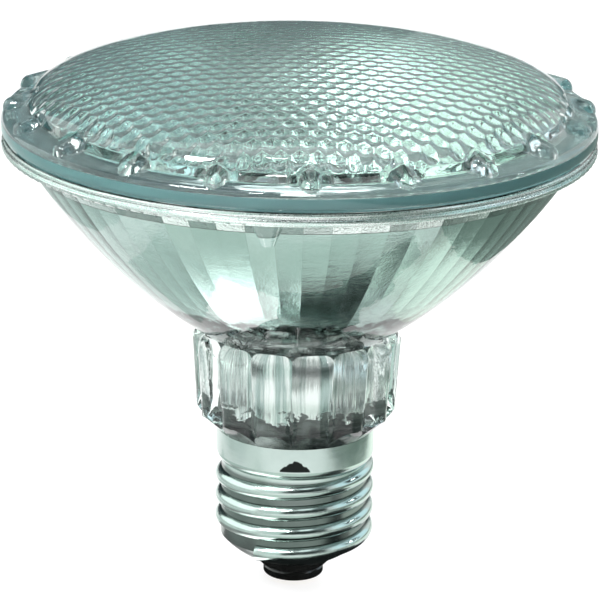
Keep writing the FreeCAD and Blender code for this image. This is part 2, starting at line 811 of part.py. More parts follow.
def wire(name, label, points, radius):
    """A round wire along straight runs in the XZ plane, with an arc at each bend."""
    places = [FreeCAD.Vector(measured(across), 0, measured(up)) for across, up in points]
    bend = measured(radius) * BEND_RADII
    edges = []
    start = places[0]
    for before, corner, after in zip(places, places[1:], places[2:]):
        into = (before - corner).normalize()
        out = (after - corner).normalize()
        half = math.acos(max(-1.0, min(1.0, into.dot(out)))) / 2
        shorter_run = min((before - corner).Length, (after - corner).Length)
        reach = min(bend / math.tan(half), BEND_SHARE * shorter_run)
        first = corner + into * reach
        last = corner + out * reach
        middle_way = (into + out).normalize()
        radius_here = reach * math.tan(half)
        centre = corner + middle_way * (radius_here / math.sin(half))
        middle = centre - middle_way * radius_here
        edges.append(Part.LineSegment(start, first).toShape())
        edges.append(Part.Arc(first, middle, last).toShape())
        start = last
    edges.append(Part.LineSegment(start, places[-1]).toShape())
    path = Part.Wire(edges)
    along = places[1] - places[0]
    section = Part.Wire([Part.makeCircle(measured(radius), places[0], along)])
    item = doc.addObject("Part::Feature", name)
    item.Shape = path.makePipeShell([section], True, False)
    return finish(item, label)


def make_filament():
    """The coil lies across the capsule, with a short tail at each end."""
    item = doc.addObject("Part::Feature", "filament_coil")
    pitch = measured("coil_pitch")
    turns = measured("coil_turns")
    radius = measured("coil_radius")
    thick = measured("coil_wire") / 2
    helix = Part.makeHelix(pitch, pitch * turns, radius)
    start = FreeCAD.Vector(radius, 0, 0)
    section = Part.Wire([Part.makeCircle(thick, start, FreeCAD.Vector(0, 1, 0))])
    coil = Part.Wire(helix.Edges).makePipeShell([section], True, True)
    item.Shape = coil
    half = pitch * turns / 2
    item.Placement = FreeCAD.Placement(
        FreeCAD.Vector(-half, 0, measured("coil_z")), FreeCAD.Rotation(FreeCAD.Vector(0, 1, 0), 90)
    )
    return finish(item, "filament")


def make_inner_lead(side, word):
    """From the foil up through the pinch, then up and in to the coil's end."""
    end = f"{side} * (coil_pitch * coil_turns / 2 + coil_wire / 2 + inner_lead_radius + seat)"
    points = [
        (f"{side} * foil_offset", "foil_z + foil_length + seat"),
        (f"{side} * foil_offset", "lead_bend_z"),
        (end, "lead_turn_z"),
        (end, "coil_z + coil_radius + lead_over_coil"),
    ]
    return wire(f"filament_lead_{word}_wire", f"filament_lead_{word}", points, "inner_lead_radius")


def make_pin(side, word):
    """The capsule's outer pin, from the foil down to the post's arm."""
    foot = "shield_z + shield_sheet + arm_height - post_radius"
    pin = doc.addObject("Part::Cylinder", f"capsule_pin_{word}_rod")
    bind(pin, "Radius", "pin_radius")
    bind(pin, "Height", f"foil_z - seat - ({foot})")
    bind(pin, "Placement.Base.x", f"{side} * foil_offset")
    bind(pin, "Placement.Base.z", foot)
    return finish(pin, f"capsule_pin_{word}")


def make_post(side, word):
    """The post stands in its ferrule, passes the shield and turns in to the capsule's pin."""
    points = [
        (f"{side} * post_offset", "post_foot_z"),
        (f"{side} * post_offset", "shield_z + shield_sheet + arm_height"),
        (f"{side} * (foil_offset + pin_radius + seat)", "shield_z + shield_sheet + arm_height"),
    ]
    return wire(f"support_post_{word}_wire", f"support_post_{word}", points, "post_radius")


def make_ferrule(side, word):
    """A flanged metal eyelet through the glass floor, closed at its foot round the post."""
    body = turned(
        f"ferrule_{word}",
        [
            ("ferrule_radius - ferrule_sheet", "ferrule_foot_z + ferrule_sheet"),
            ("ferrule_radius - ferrule_sheet", "mirror_bottom_z + ferrule_sheet + seat"),
            ("ferrule_flange_radius", "mirror_bottom_z + ferrule_sheet + seat"),
            ("ferrule_flange_radius", "mirror_bottom_z + seat"),
            ("ferrule_radius", "mirror_bottom_z + seat"),
            ("ferrule_radius", "ferrule_foot_z"),
            ("post_radius + seat", "ferrule_foot_z"),
            ("post_radius + seat", "ferrule_foot_z + ferrule_sheet"),
        ],
    )
    bind(body, "Placement.Base.x", f"{side} * post_offset")
    return finish(body, f"ferrule_{word}")


def make_shield():
    """The metal disc behind the capsule, with a turned-up edge and two holes for the posts."""
    disc = turned(
        "heat_shield",
        [
            ("0", "shield_z"),
            ("shield_radius", "shield_z"),
            ("shield_radius", "shield_z + shield_rim"),
            ("shield_radius - shield_sheet", "shield_z + shield_rim"),
            ("shield_radius - shield_sheet", "shield_z + shield_sheet"),
            ("0", "shield_z + shield_sheet"),
        ],
    )
    holes = []
    for side, word in ((-1, "left"), (1, "right")):
        hole = doc.addObject("Part::Cylinder", f"shield_hole_{word}")
        bind(hole, "Radius", "post_radius + seat")
        bind(hole, "Height", "shield_rim + cut_over * 2")
        bind(hole, "Placement.Base.x", f"{side} * post_offset")
        bind(hole, "Placement.Base.z", "shield_z - cut_over")
        holes.append(hole)
    both = doc.addObject("Part::MultiFuse", "shield_holes")
    both.Shapes = holes
    cut = doc.addObject("Part::Cut", "heat_shield_cut")
    cut.Base = disc
    cut.Tool = both
    return finish(cut, "heat_shield")


def make_neck_wires():
    """The shell lead runs from the right post to the shell's wall, and the contact lead down the
    middle through the fuse to the centre contact."""
    gap = "post_foot_z - seat"
    wire(
        "shell_lead_wire",
        "shell_lead",
        [
            ("post_offset", gap),
            ("post_offset", "shell_lead_bend_z"),
            ("thread_root_radius - shell_sheet - shell_lead_gap", "shell_lead_turn_z"),
            ("thread_root_radius - shell_sheet - shell_lead_gap", "shell_lead_end_z"),
        ],
        "wire_radius",
    )
    wire(
        "contact_lead_wire",
        "contact_lead",
        [
            ("-post_offset", gap),
            ("-post_offset", "contact_lead_bend_z"),
            ("0", "contact_lead_turn_z"),
            ("0", "solder_socket_z + seat"),
        ],
        "wire_radius",
    )
    body = turned(
        "fuse_sleeve",
        [
            ("wire_radius + seat", "fuse_z"),
            ("fuse_radius - fuse_round", "fuse_z"),
            ("fuse_radius", "fuse_z + fuse_round", "right", "fuse_round"),
            ("fuse_radius", "fuse_z + fuse_length - fuse_round"),
            ("fuse_radius - fuse_round", "fuse_z + fuse_length", "right", "fuse_round"),
            ("wire_radius + seat", "fuse_z + fuse_length"),
        ],
    )
    finish(body, "fuse_sleeve")


make_lens()
make_reflector()
make_seal()
make_shell()
make_cement()
make_insulator()
make_contact()
make_contact_solder()
make_capsule()
make_filament()
for side, word in ((-1, "left"), (1, "right")):
    make_foil(side, word)
    make_inner_lead(side, word)
    make_pin(side, word)
    make_post(side, word)
    make_ferrule(side, word)
make_shield()
make_neck_wires()
doc.recompute()

faults = [item.Name for item in doc.Objects if {"Invalid", "Error"} & set(item.State)]
for item in NODES:
    if item.Shape.isNull() or not item.Shape.isValid():
        faults.append(f"{item.Label} has a bad shape")
if faults:
    raise RuntimeError("; ".join(faults))

os.makedirs("parts", exist_ok=True)
for item in NODES:
    box = item.Shape.BoundBox
    print(item.Label, len(item.Shape.Solids), round(item.Shape.Volume, 2), round(box.ZMax, 2))
    item.Shape.exportStep(os.path.join("parts", f"{item.Label}.step"))
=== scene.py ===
import math

import bmesh
import bpy
from bpy.props import FloatProperty, FloatVectorProperty, IntProperty, PointerProperty
from mathutils import Matrix, Vector


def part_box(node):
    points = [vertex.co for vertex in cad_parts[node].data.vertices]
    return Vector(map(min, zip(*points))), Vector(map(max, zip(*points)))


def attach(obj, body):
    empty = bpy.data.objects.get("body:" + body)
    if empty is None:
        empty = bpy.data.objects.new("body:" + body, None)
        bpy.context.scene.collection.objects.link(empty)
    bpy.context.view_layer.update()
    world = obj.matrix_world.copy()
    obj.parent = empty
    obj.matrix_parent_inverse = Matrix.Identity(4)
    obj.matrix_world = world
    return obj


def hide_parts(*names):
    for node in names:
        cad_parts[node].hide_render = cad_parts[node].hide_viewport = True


bl_info = {
    "name": "Par Spotlight Bulb",
    "version": (1, 0, 0),
    "blender": (4, 5, 0),
    "location": "View3D > Sidebar > Spotlight Bulb",
    "description": "Dresses the spotlight bulb's solids with glass, mirror coating, metal and a studio",
    "category": "Add Mesh",
}

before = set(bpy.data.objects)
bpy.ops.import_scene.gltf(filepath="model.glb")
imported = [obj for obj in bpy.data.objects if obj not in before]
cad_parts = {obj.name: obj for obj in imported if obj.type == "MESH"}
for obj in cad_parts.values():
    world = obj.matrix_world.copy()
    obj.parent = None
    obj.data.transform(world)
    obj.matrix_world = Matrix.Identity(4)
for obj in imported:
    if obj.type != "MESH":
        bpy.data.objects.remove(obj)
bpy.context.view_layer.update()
MM = 0.001

# The bowl's meridian, in metres from the lamp's axis and the contact's tip
BOWL_ARC = 0.100
BOWL_OFFSET = 0.040
BOWL_ARC_UP = 0.1274

# Thin films, as lines of (radius, height) in metres that are turned about the lamp's axis
FILM_SIDES = 180
LAND_LINE = ((0.0413, 0.07802), (0.04766, 0.07802))
ADHESIVE_LINE = ((0.04766, 0.07804), (0.0479, 0.07828), (0.04809, 0.07862), (0.04809, 0.07985))
RIM_LINE = (
    (0.04755, 0.07542), (0.04793, 0.07562), (0.04808, 0.0759), (0.04808, 0.07655),
    (0.04774, 0.0768), (0.04788, 0.077), (0.04788, 0.07722), (0.0478, 0.07742),
)

# The mirror: how deep its two faces lie in the glass, and the relief of the coating, in metres
BACK_DEPTH = 0.00008
FACE_DEPTH = 0.00004
FACET_ROWS = 30
SPECK_RELIEF = 0.000014
BLOCK_SPECK_RELIEF = 0.00005
LINE_RELIEF = 0.000012
WAVE_RELIEF = 0.00003
# Painted shade at the mirror's foot: how high it rises, how far its blots reach, and its colour
FOOT_SHADE_RISE = 0.0022
FOOT_SHADE_SPREAD = 0.004
FOOT_SHADE_COLOUR = (0.03, 0.04, 0.037)
BLOCK_COLOURS = ((0.26, 0.33, 0.31), (1, 1, 1))

# Below this height the neck's coating gives way to painted shade, which reaches this much higher in patches
NECK_SHADE_FOOT = 0.0265
NECK_SHADE_SPREAD = 0.013

# The screw cap, in metres: borders of the painted shade in its thread's valleys, and the painted dark
# reflection on its band
VALLEY_SHADE_RADII = (0.0122, 0.01275)
VALLEY_SHADE = 0.34
BAND_BORDER = (0.0205, 0.0215)
CUP_BORDER = (0.0066, 0.0076)
# Painted dark reflection on the band: its foot, height, half width, lower border and darkness
REFLECTION_FOOT = 0.0236
REFLECTION_HEIGHT = 0.0019
REFLECTION_HALF_WIDTH = 0.0026
REFLECTION_BORDER = (0.0233, 0.0235)
REFLECTION_SHADE = 0.03

# The round edge of the coating on the neck's ceiling, in metres, and how far its middle is cut in
BORE_ROUND = 0.0015
BORE_ROUND_CUT = 0.00045

# The lens's ceiling faces down by more than this; its sheet stays this share of a step off the edge
FACES_DOWN = -0.1
SHEET_GAP = 0.6

# Vertices nearer than this are one, and edges sharper than these angles stay sharp
SAME_PLACE = 2e-6
SHARP_LENS = math.radians(24)
SHARP_MIRROR = math.radians(4)

# The camera: elevation and roll in degrees, its lens in millimetres, its target and distance in metres
CAMERA_ELEVATION = 17.761
CAMERA_ROLL = 0.894
CAMERA_LENS = 216.44
CAMERA_TARGET = (0.000456, 0, 0.048767)
CAMERA_DISTANCE = 0.59227

# The studio: half width, front and back of the floor, and the gap between the sheets of card on it, in metres
FLOOR = (4, -3, 6)
CARD_GAP = 0.0001
SKY_LEVEL = 0.75

# How often light may turn: it meets many faces of glass on its way through the lens and back
BOUNCES = {"max_bounces": 20, "transmission_bounces": 18, "glossy_bounces": 8}


# Node trees

def add_node(tree, kind, inputs=None, **settings):
    """Adds a node, sets its settings, and gives each named input a value or a link."""
    made = tree.nodes.new(kind)
    for name, value in settings.items():
        setattr(made, name, value)
    for name, value in (inputs or {}).items():
        if isinstance(value, bpy.types.NodeSocket):
            tree.links.new(value, made.inputs[name])
        else:
            made.inputs[name].default_value = value
    return made


def maths(tree, operation, *values):
    """One sum of a node tree: values are numbers or sockets."""
    return add_node(tree, "ShaderNodeMath", dict(enumerate(values)), operation=operation).outputs[0]


def between(tree, value, low, high, to_low=0.0, to_high=1.0, kind="SMOOTHSTEP"):
    """Maps a value from one range to another, smoothly and held at the ends."""
    made = add_node(
        tree,
        "ShaderNodeMapRange",
        {"Value": value, "From Min": low, "From Max": high, "To Min": to_low, "To Max": to_high},
        interpolation_type=kind,
    )
    return made.outputs["Result"]


def squared_reach(tree, across, deep):
    """The square of a point's distance from the axis."""
    return maths(tree, "ADD", maths(tree, "MULTIPLY", across, across), maths(tree, "MULTIPLY", deep, deep))


def polar_of(tree, across, deep):
    """Distance from the lamp's axis and the angle about it."""
    return maths(tree, "SQRT", squared_reach(tree, across, deep)), maths(tree, "ARCTAN2", deep, across)


def parts_of(tree, place):
    """A point's three numbers: across, deep and up."""
    parts = add_node(tree, "ShaderNodeSeparateXYZ", {"Vector": place}).outputs
    return parts["X"], parts["Y"], parts["Z"]


def place_of(tree):
    """The point on the object."""
    return add_node(tree, "ShaderNodeTexCoord").outputs["Object"]


def noise_of(tree, where, scale, detail=3.0, roughness=0.5, stretch=(1.0, 1.0, 1.0)):
    """Noise over a surface, in features per metre, stretched along each axis."""
    spread = add_node(tree, "ShaderNodeMapping", {"Vector": where, "Scale": stretch})
    made = add_node(
        tree,
        "ShaderNodeTexNoise",
        {"Vector": spread.outputs[0], "Scale": scale, "Detail": detail, "Roughness": roughness},
    )
    return made.outputs["Fac"]


def raised(tree, height, strength, distance):
    """A bump of a real depth in metres."""
    made = add_node(tree, "ShaderNodeBump", {"Height": height, "Strength": strength, "Distance": distance})
    return made.outputs["Normal"]


def toned(tree, share, first, second):
    """A colour between two, by a share; each is three numbers or a socket."""
    made = add_node(tree, "ShaderNodeMix", {"Factor": share}, data_type="RGBA")
    for socket, colour in ((made.inputs[6], first), (made.inputs[7], second)):
        if isinstance(colour, bpy.types.NodeSocket):
            tree.links.new(colour, socket)
        else:
            socket.default_value = (*colour, 1)
    return made.outputs[2]


# Materials

def new_material(name):
    """A material with an empty node tree."""
    material = bpy.data.materials.new(name)
    material.use_nodes = True
    material.node_tree.nodes.clear()
    return material, material.node_tree


def end_with(tree, shader):
    """Ends a material with a shader."""
    add_node(tree, "ShaderNodeOutputMaterial", {"Surface": shader})


def end_with_surface(tree, inputs):
    """Ends a material with one surface; a number that is the same all over stays on its own socket."""
    end_with(tree, add_node(tree, "ShaderNodeBsdfPrincipled", inputs).outputs[0])


def pressed_glass(name, tint, deeper, grain=0.00002):
    """Clear pressed glass: faint waves and draw marks from the mould, and a slight tint that varies."""
    material, tree = new_material(name)
    where = place_of(tree)
    waves = noise_of(tree, where, 130, 2.0)
    skin = noise_of(tree, where, 900, 2.0, 0.6)
    height = maths(tree, "ADD", waves, maths(tree, "MULTIPLY", skin, 0.12))
    end_with_surface(tree, {
        "Base Color": toned(tree, waves, tint, deeper),
        "Roughness": between(tree, skin, 0.3, 0.8, 0.0, 0.02),
        "Normal": raised(tree, height, 0.5, grain * 10),
        "IOR": 1.48,
        "Transmission Weight": 1.0,
    })
    return material


def mirror_metal(name, sizes, dim, bright, matt):
    """Evaporated aluminium on glass: each facet leans a little its own way, its top is a block by itself."""
    material, tree = new_material(name)
    where = place_of(tree)
    across, deep, up = parts_of(tree, where)
    radius, angle = polar_of(tree, across, deep)
    # the facet that a point is on, how far along it, and three chances that hold for the whole facet
    step = math.tau / sizes.facet_count
    turns = maths(tree, "DIVIDE", maths(tree, "SUBTRACT", angle, sizes.facet_phase), step)
    number = maths(tree, "FLOOR", turns)
    along = maths(tree, "MULTIPLY", maths(tree, "FRACT", turns), step)
    chance = add_node(tree, "ShaderNodeTexWhiteNoise", {"W": number}, noise_dimensions="1D")
    shares = add_node(tree, "ShaderNodeSeparateColor", {"Color": chance.outputs["Color"]}).outputs
    block = between(tree, up, sizes.block_foot - 0.00005, sizes.block_foot + 0.00005, kind="LINEAR")
    # the relief: the facet's lean, specks that are coarser on the blocks, fine lines and slow waves
    lean = maths(tree, "MULTIPLY", maths(tree, "SUBTRACT", shares[0], 0.5), sizes.facet_lean)
    ramp = maths(tree, "MULTIPLY", maths(tree, "MULTIPLY", along, radius), lean)
    haze = noise_of(tree, where, 160, 3.0, 0.6)
    specks = noise_of(tree, where, 2600, 2.0, 0.6)
    lines = noise_of(tree, where, 1500, 2.0, 0.5, (0.1, 0.1, 1.0))
    coarse = maths(tree, "MULTIPLY", block, BLOCK_SPECK_RELIEF * matt)
    coarse = maths(tree, "ADD", SPECK_RELIEF * matt, coarse)
    fine = maths(tree, "MULTIPLY", lines, LINE_RELIEF * matt)
    grain = maths(tree, "ADD", maths(tree, "MULTIPLY", specks, coarse), fine)
    waves = maths(tree, "MULTIPLY", haze, WAVE_RELIEF)
    height = maths(tree, "ADD", ramp, maths(tree, "ADD", grain, waves))
    # the colour: one tone for each facet and each block, and painted shade as a dark blotched edge round the
    # floor
    share = maths(tree, "ADD", maths(tree, "MULTIPLY", shares[1], 0.6), maths(tree, "MULTIPLY", haze, 0.4))
    blocks = toned(tree, between(tree, shares[2], 0.2, 0.8), *BLOCK_COLOURS)
    coating = toned(tree, block, toned(tree, share, dim, bright), blocks)
    blots = noise_of(tree, where, 420, 4.0, 0.65)
    foot = maths(tree, "ADD", sizes.mirror_foot + FOOT_SHADE_RISE, maths(tree, "MULTIPLY", blots, FOOT_SHADE_SPREAD))
    foot_shade = between(tree, maths(tree, "SUBTRACT", foot, up), -0.0003, 0.0006)
    foot_shade = maths(tree, "MULTIPLY", foot_shade, between(tree, blots, 0.38, 0.52))
    end_with_surface(tree, {
        "Base Color": toned(tree, foot_shade, coating, FOOT_SHADE_COLOUR),
        "Roughness": between(tree, haze, 0.3, 0.75, 0.1 * matt, 0.2 * matt),
        "Normal": raised(tree, height, 1.0, 1.0),
        "Metallic": 1.0,
    })
    return material


def neck_coat(name):
    """The coating that ran down the neck's bore: silvery streaks that thin out into dark patches of painted
    shade.
    """
    material, tree = new_material(name)
    where = place_of(tree)
    up = parts_of(tree, where)[2]
    streaks = noise_of(tree, where, 1400, 3.0, 0.6, (1.0, 1.0, 0.03))
    blots = noise_of(tree, where, 330, 4.0, 0.65)
    # painted shade: dark patches below the coating's ragged lower edge
    edge = maths(tree, "ADD", NECK_SHADE_FOOT, maths(tree, "MULTIPLY", blots, NECK_SHADE_SPREAD))
    shaded = between(tree, maths(tree, "SUBTRACT", edge, up), -0.0002, 0.0004)
    silver = toned(tree, between(tree, streaks, 0.35, 0.6), (0.40, 0.50, 0.48), (0.97, 0.99, 0.98))
    dark = toned(tree, between(tree, blots, 0.35, 0.65), (0.02, 0.026, 0.025), (0.22, 0.25, 0.24))
    end_with_surface(tree, {
        "Base Color": toned(tree, shaded, silver, dark),
        "Roughness": between(tree, shaded, 0.0, 1.0, 0.22, 0.5),
        "Normal": raised(tree, streaks, 0.6, 0.0002),
        "Metallic": 0.85,
    })
    return material


def nickel_sheet(name, dim, bright):
    """Satin nickel on rolled sheet: lines round the cap, stains, painted shade in the thread's valleys and a
    painted dark reflection on the band.
    """
    material, tree = new_material(name)
    where = place_of(tree)
    across, deep, up = parts_of(tree, where)
    lines = noise_of(tree, where, 900, 3.0, 0.55, (0.06, 0.06, 1.0))
    stains = noise_of(tree, where, 190, 4.0, 0.6)
    # painted shade: the thread's valleys are darkened; its crests, the band and the cup are left bright
    radius = maths(tree, "SQRT", squared_reach(tree, across, deep))
    unshaded = between(tree, radius, *VALLEY_SHADE_RADII, VALLEY_SHADE, 1.0)
    unshaded = maths(tree, "MAXIMUM", unshaded, between(tree, up, *BAND_BORDER))
    unshaded = maths(tree, "MAXIMUM", unshaded, between(tree, up, *CUP_BORDER, 1.0, 0.0))
    # painted reflection of a dark thing in front: widest at the band's foot, with ragged edges, on the side
    # of the key
    ragged = noise_of(tree, where, 900, 2.0, 0.6, (1.0, 1.0, 0.5))
    aside = maths(tree, "DIVIDE", maths(tree, "ABSOLUTE", across), REFLECTION_HALF_WIDTH)
    above = maths(tree, "DIVIDE", maths(tree, "SUBTRACT", up, REFLECTION_FOOT), REFLECTION_HEIGHT)
    spread = maths(tree, "ADD", maths(tree, "ADD", aside, maths(tree, "MAXIMUM", above, 0.0)), ragged)
    clear = between(tree, spread, 1.4, 1.5, REFLECTION_SHADE, 1.0)
    clear = maths(tree, "MAXIMUM", clear, between(tree, up, *REFLECTION_BORDER, 1.0, 0.0))
    clear = maths(tree, "MAXIMUM", clear, between(tree, deep, -0.002, 0.0))
    nickel = add_node(
        tree,
        "ShaderNodeVectorMath",
        {0: toned(tree, stains, dim, bright), "Scale": maths(tree, "MULTIPLY", unshaded, clear)},
        operation="SCALE",
    )
    end_with_surface(tree, {
        "Base Color": nickel.outputs[0],
        "Roughness": between(tree, stains, 0.25, 0.75, 0.15, 0.25),
        "Normal": raised(tree, lines, 0.25, 0.00003),
        "Metallic": 1.0,
    })
    return material


def black_glass(name):
    """Black glass, glossy, with a faint flow pattern."""
    material, tree = new_material(name)
    flow = noise_of(tree, place_of(tree), 420, 3.0, 0.6)
    end_with_surface(tree, {
        "Base Color": toned(tree, flow, (0.004, 0.004, 0.004), (0.014, 0.015, 0.014)),
        "Roughness": between(tree, flow, 0.3, 0.8, 0.05, 0.16),
        "Normal": raised(tree, flow, 0.35, 0.0001),
    })
    return material


def lined_metal(name, dim, bright, rough):
    """A thin metal film with turning lines round the lamp's axis."""
    material, tree = new_material(name)
    where = place_of(tree)
    across, deep, up = parts_of(tree, where)
    radius, angle = polar_of(tree, across, deep)
    unrolled = {"X": radius, "Y": maths(tree, "MULTIPLY", angle, 0.0012), "Z": up}
    lines = noise_of(tree, add_node(tree, "ShaderNodeCombineXYZ", unrolled).outputs[0], 3400, 2.0, 0.5)
    specks = noise_of(tree, where, 2400, 2.0, 0.6)
    share = maths(tree, "ADD", maths(tree, "MULTIPLY", lines, 0.8), maths(tree, "MULTIPLY", specks, 0.2))
    end_with_surface(tree, {
        "Base Color": toned(tree, between(tree, share, 0.36, 0.58), dim, bright),
        "Roughness": between(tree, specks, 0.2, 0.8, rough * 0.7, rough * 1.3),
        "Normal": raised(tree, share, 0.5, 0.0001),
        "Metallic": 1.0,
    })
    return material


def grey_adhesive(name, dim, bright):
    """Slate-coloured adhesive, dull where it wets the glass."""
    material, tree = new_material(name)
    cloud = noise_of(tree, place_of(tree), 90, 3.0, 0.5)
    end_with_surface(tree, {
        "Base Color": toned(tree, cloud, dim, bright),
        "Roughness": 0.9,
        "Specular IOR Level": 0.0,
    })
    return material


def drawn_metal(name, dark, light, rough, metallic=1.0):
    """Wire, rod or small sheet: two close tones and fine draw marks."""
    material, tree = new_material(name)
    marks = noise_of(tree, place_of(tree), 1500, 3.0, 0.6, (1.0, 1.0, 0.12))
    end_with_surface(tree, {
        "Base Color": toned(tree, marks, dark, light),
        "Roughness": between(tree, marks, 0.2, 0.8, rough * 0.7, rough * 1.3),
        "Normal": raised(tree, marks, 0.3, 0.00003),
        "Metallic": metallic,
    })
    return material


# Meshes

def new_piece(name, mesh, replaced=()):
    """A piece of the lamp: it rides with the lamp and stands for the solids that it replaces."""
    piece = bpy.data.objects.new(name, mesh)
    bpy.context.scene.collection.objects.link(piece)
    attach(piece, "root")
    if replaced:
        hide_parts(*replaced)
    return piece


def dress(node, material):
    """Gives a solid of the lamp its finish."""
    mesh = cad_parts[node].data
    mesh.materials.clear()
    mesh.materials.append(material)


def grown(source, tree, values):
    """The plain mesh that a geometry node tree makes of a source mesh."""
    carrier = bpy.data.objects.new("growing", source)
    bpy.context.scene.collection.objects.link(carrier)
    modifier = carrier.modifiers.new("grow", "NODES")
    modifier.node_group = tree
    for item in tree.interface.items_tree:
        if item.item_type == "SOCKET" and item.in_out == "INPUT" and item.name in values:
            modifier[item.identifier] = values[item.name]
    graph = bpy.context.evaluated_depsgraph_get()
    mesh = bpy.data.meshes.new_from_object(carrier.evaluated_get(graph))
    bpy.data.objects.remove(carrier)
    return mesh


def new_grower(name, inputs):
    """An empty geometry node tree with named inputs."""
    tree = bpy.data.node_groups.new(name, "GeometryNodeTree")
    tree.interface.new_socket("Geometry", in_out="INPUT", socket_type="NodeSocketGeometry")
    for label, kind in inputs:
        tree.interface.new_socket(label, in_out="INPUT", socket_type=f"NodeSocket{kind}")
    tree.interface.new_socket("Geometry", in_out="OUTPUT", socket_type="NodeSocketGeometry")
    start = tree.nodes.new("NodeGroupInput").outputs
    return tree, start


def end_grower(tree, last, start):
    """Ends a geometry node tree: real geometry in its finish."""
    real = add_node(tree, "GeometryNodeRealizeInstances", {"Geometry": last.outputs[0]})
    finish = {"Geometry": real.outputs[0], "Material": start["Finish"]}
    painted = add_node(tree, "GeometryNodeSetMaterial", finish)
    add_node(tree, "NodeGroupOutput", {"Geometry": painted.outputs[0]})


def bowl_radius(height, wall):
    """The bowl's radius at a height, on the inner side of a wall."""
    reach = BOWL_ARC - wall
    return math.sqrt(reach * reach - (BOWL_ARC_UP - height) ** 2) - BOWL_OFFSET


def lenslet_tree():
    """Presses round lenslets, packed in staggered rows, into the sheet that it is given."""
    tree, start = new_grower(
        "Lenslets",
        [
            ("Pitch", "Float"), ("Depth", "Float"), ("Disc radius", "Float"), ("Fade", "Float"),
            ("Finish", "Material"),
        ],
    )
    place = add_node(tree, "GeometryNodeInputPosition").outputs[0]
    x, y = parts_of(tree, place)[:2]
    pitch = start["Pitch"]
    rows = maths(tree, "MULTIPLY", pitch, math.sqrt(3))
    half_pitch = maths(tree, "MULTIPLY", pitch, 0.5)
    half_row = maths(tree, "MULTIPLY", rows, 0.5)
    nearest = None
    for share in (0.0, 0.5):
        across = maths(tree, "ADD", x, maths(tree, "MULTIPLY", pitch, share))
        deep = maths(tree, "ADD", y, maths(tree, "MULTIPLY", rows, share))
        across = maths(tree, "WRAP", across, half_pitch, maths(tree, "MULTIPLY", pitch, -0.5))
        deep = maths(tree, "WRAP", deep, half_row, maths(tree, "MULTIPLY", rows, -0.5))
        square = squared_reach(tree, across, deep)
        nearest = square if nearest is None else maths(tree, "MINIMUM", nearest, square)
    corner = maths(tree, "DIVIDE", maths(tree, "MULTIPLY", pitch, pitch), 3.0)
    swell = maths(tree, "SUBTRACT", 1.0, maths(tree, "DIVIDE", nearest, corner))
    out = maths(tree, "SQRT", squared_reach(tree, x, y))
    inner = maths(tree, "SUBTRACT", start["Disc radius"], start["Fade"])
    fade = between(tree, out, inner, start["Disc radius"], 1.0, 0.0)
    drop = maths(tree, "MULTIPLY", maths(tree, "MULTIPLY", swell, start["Depth"]), fade)
    offset = add_node(tree, "ShaderNodeCombineXYZ", {"Z": maths(tree, "MULTIPLY", drop, -1.0)})
    moved = {"Geometry": start["Geometry"], "Offset": offset.outputs[0]}
    end_grower(tree, add_node(tree, "GeometryNodeSetPosition", moved), start)
    return tree


def lens_sheet(loop, sizes):
    """The hollow's ceiling: a fine sheet whose edges follow the lenslets' borders, filled out to the loop."""
    step = sizes.lenslet_pitch / (math.sqrt(3) * sizes.lenslet_steps)
    across_step = step * math.cos(math.radians(30))
    reach = sizes.hollow_radius - SHEET_GAP * step
    count = int(reach / across_step) + 2
    span = 2 * count
    form = bmesh.new()
    corners = {}
    for i in range(-count, count + 1):
        for j in range(-span, span + 1):
            x = i * across_step
            y = (j + i / 2) * step
            out = math.hypot(x, y)
            if out < reach:
                fall = math.sqrt(max(0.0, 1 - (out / sizes.ceiling_radius) ** 2))
                corners[i, j] = form.verts.new((x, y, sizes.ceiling_base + sizes.ceiling_rise * fall))
    for (i, j), corner in corners.items():
        for others in (((i + 1, j), (i, j + 1)), ((i + 1, j - 1), (i + 1, j))):
            if all(key in corners for key in others):
                form.faces.new((corner, corners[others[1]], corners[others[0]]))
    for corner in [vert for vert in form.verts if not vert.link_faces]:
        form.verts.remove(corner)
    ring = [form.verts.new(place) for place in loop]
    edge = [form.edges.new((ring[index - 1], ring[index])) for index in range(len(ring))]
    inner = [item for item in form.edges if len(item.link_faces) == 1]
    bmesh.ops.triangle_fill(form, edges=edge + inner, normal=(0, 0, -1), use_beauty=True)
    mesh = bpy.data.meshes.new("lens_sheet")
    form.to_mesh(mesh)
    form.free()
    return mesh


def make_lens_mesh(sizes, material):
    """The lens as pressed: its outside as in the solid, its ceiling set with lenslets."""
    form = bmesh.new()
    form.from_mesh(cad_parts["lens"].data)
    bmesh.ops.remove_doubles(form, verts=form.verts, dist=SAME_PLACE)
    ceiling = []
    for face in form.faces:
        middle = face.calc_center_median()
        if math.hypot(middle.x, middle.y) < sizes.hollow_radius and face.normal.z < FACES_DOWN:
            ceiling.append(face)
    bmesh.ops.delete(form, geom=ceiling, context="FACES")
    edges = [edge for edge in form.edges if len(edge.link_faces) == 1]
    around = {vert for edge in edges for vert in edge.verts}
    loop = [vert.co.copy() for vert in sorted(around, key=lambda vert: math.atan2(vert.co.y, vert.co.x))]
    values = {
        "Pitch": sizes.lenslet_pitch,
        "Depth": sizes.lenslet_depth,
        "Disc radius": sizes.hollow_radius,
        "Fade": sizes.lenslet_fade,
        "Finish": material,
    }
    pressed = grown(lens_sheet(loop, sizes), lenslet_tree(), values)
    form.from_mesh(pressed)
    bmesh.ops.remove_doubles(form, verts=form.verts, dist=SAME_PLACE)
    bmesh.ops.recalc_face_normals(form, faces=form.faces)
    mesh = bpy.data.meshes.new("stippled_lens")
    form.to_mesh(mesh)
    form.free()
    mesh.materials.append(material)
    for polygon in mesh.polygons:
        polygon.material_index = 0
    mesh.shade_smooth()
    mesh.set_sharp_from_angle(angle=SHARP_LENS)
    return mesh


